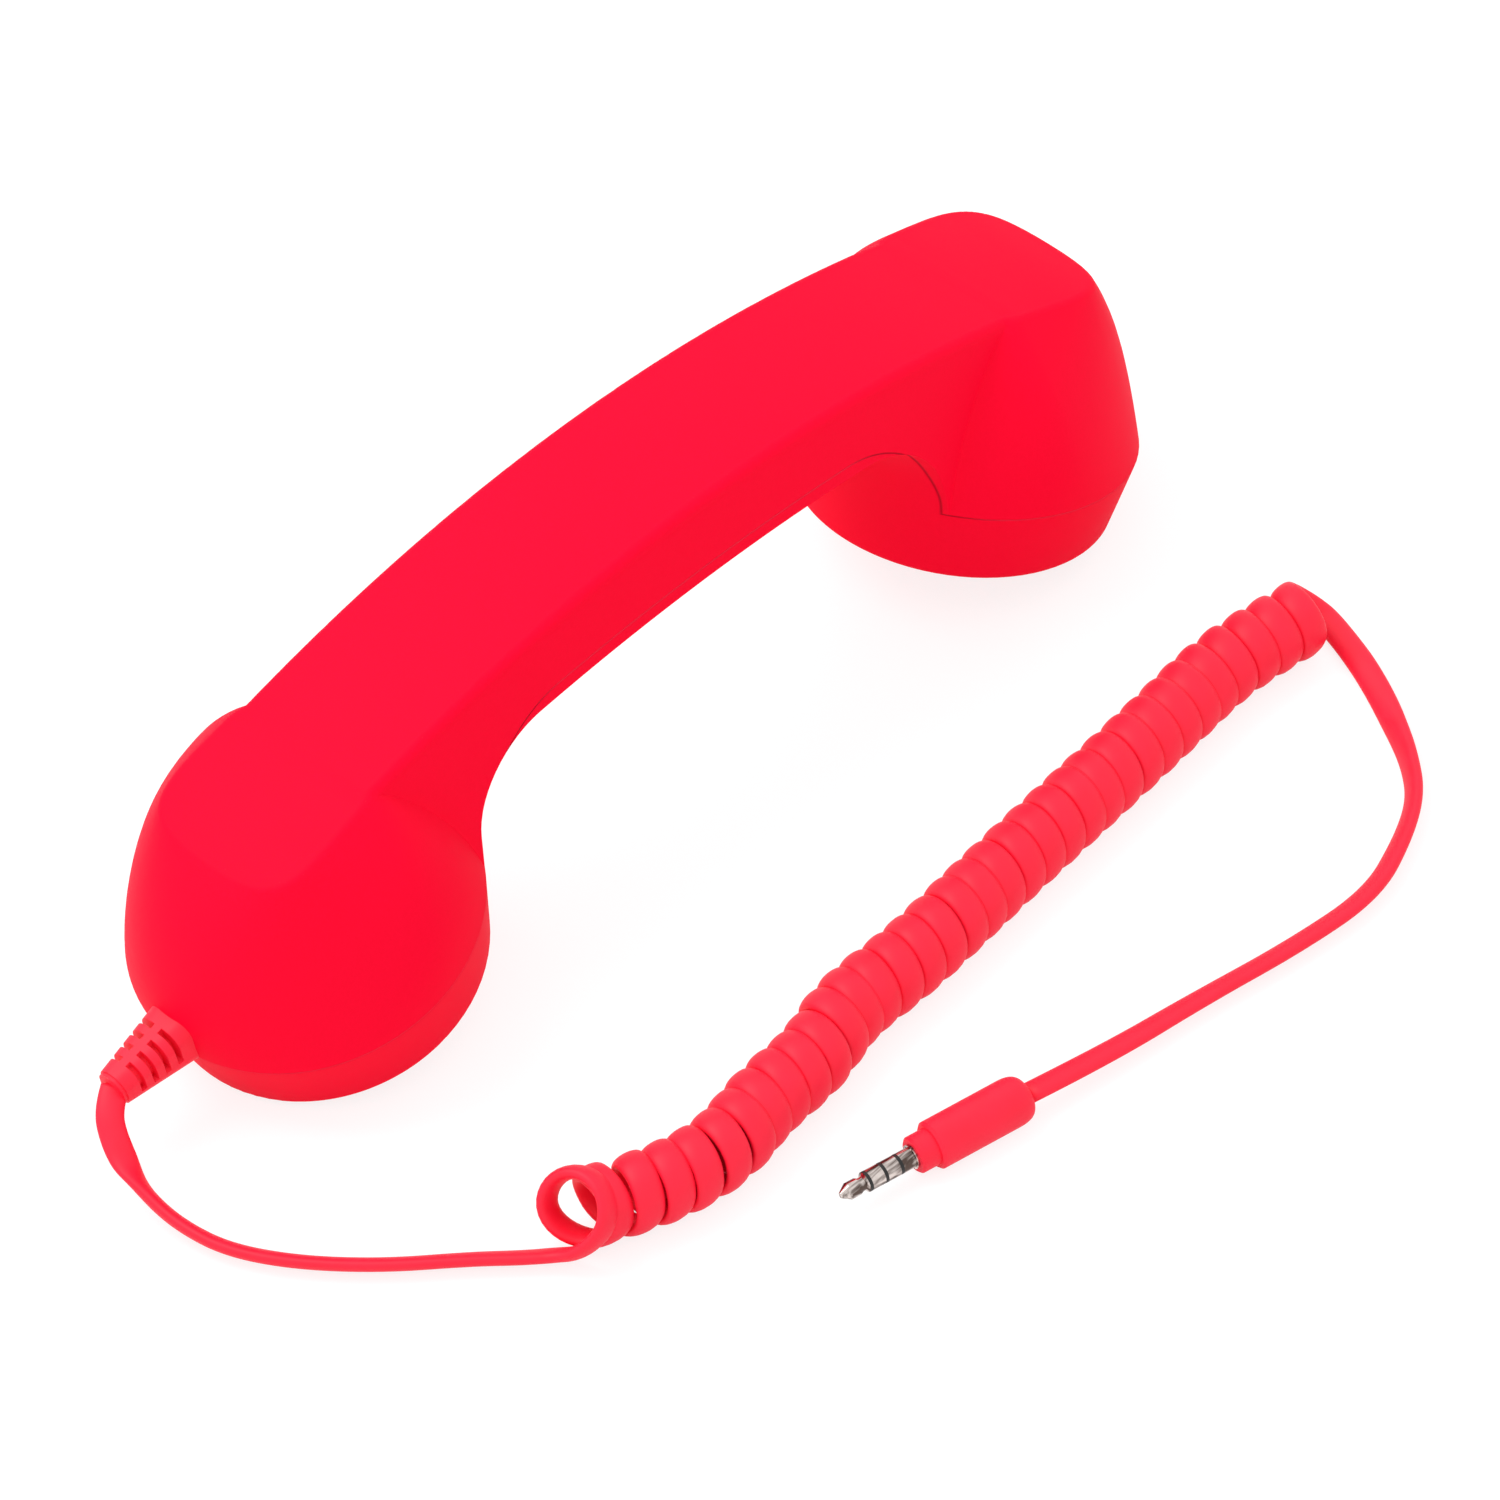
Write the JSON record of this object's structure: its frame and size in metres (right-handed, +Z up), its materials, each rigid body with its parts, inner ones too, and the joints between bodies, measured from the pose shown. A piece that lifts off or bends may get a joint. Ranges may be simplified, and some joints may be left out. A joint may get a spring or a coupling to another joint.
{
  "type": "telephone handset",
  "caption": "Arched telephone handset with two round cups, moulded in two shells, on a curly cord that ends in a slim round audio plug",
  "frame": {"origin": "on the ground, below the middle of the handset as it rests on its two cups with the handle up", "axes": "+X runs from the mouthpiece to the earpiece, -Y to the side where the cord lies, +Z up"},
  "size_m": [0.2367, 0.1443, 0.0654],
  "materials": {
    "soft_red": "soft-touch matte",
    "red_rubber": "satin",
    "nickel": "polished",
    "black_insulator": "gloss",
    "dust_cloth": "woven",
    "black_rubber": "matte",
    "black_plastic": "matte",
    "steel": "zinc plated",
    "ferrite": "matte",
    "copper": "enamelled",
    "clear_film": "gloss",
    "capsule_can": "satin",
    "switch_plastic": "matte",
    "board": "solder mask",
    "wire_sleeve": "satin"
  },
  "bodies": {
    "handset": {"upper_shell": "soft_red", "lower_shell": "soft_red", "ear_grille": "soft_red", "mouth_grille": "soft_red", "strain_relief": "red_rubber", "cord_lead": "red_rubber", "cord_coil": "red_rubber", "cord_tail": "red_rubber", "plug_body": "red_rubber", "plug_tip": "nickel", "plug_ring_1": "nickel", "plug_ring_2": "nickel", "plug_sleeve": "nickel", "plug_insulation": "black_insulator", "ear_cloth": "dust_cloth", "mouth_cloth": "dust_cloth", "speaker_gasket": "black_rubber", "mic_boot": "black_rubber", "speaker_frame": "black_plastic", "speaker_clamp": "black_plastic", "switch_body": "black_plastic", "speaker_yoke": "steel", "speaker_pole_plate": "steel", "speaker_screws": "steel", "case_screws": "steel", "board_screws": "steel", "speaker_magnet": "ferrite", "speaker_voice_coil": "copper", "speaker_diaphragm": "clear_film", "mic_capsule": "capsule_can", "button_board": "board", "speaker_leads": "wire_sleeve", "mic_leads": "wire_sleeve", "line_leads": "wire_sleeve"},
    "button": {"answer_button": "soft_red", "switch_plunger": "switch_plastic"}
  },
  "joints": [
    {"name": "button_press", "type": "slide", "parent": "handset", "child": "button", "axis": [0.0811, 0, 0.9967], "range_m": [0, 0.0005], "stiffness_N_per_m": 3000}
  ]
}
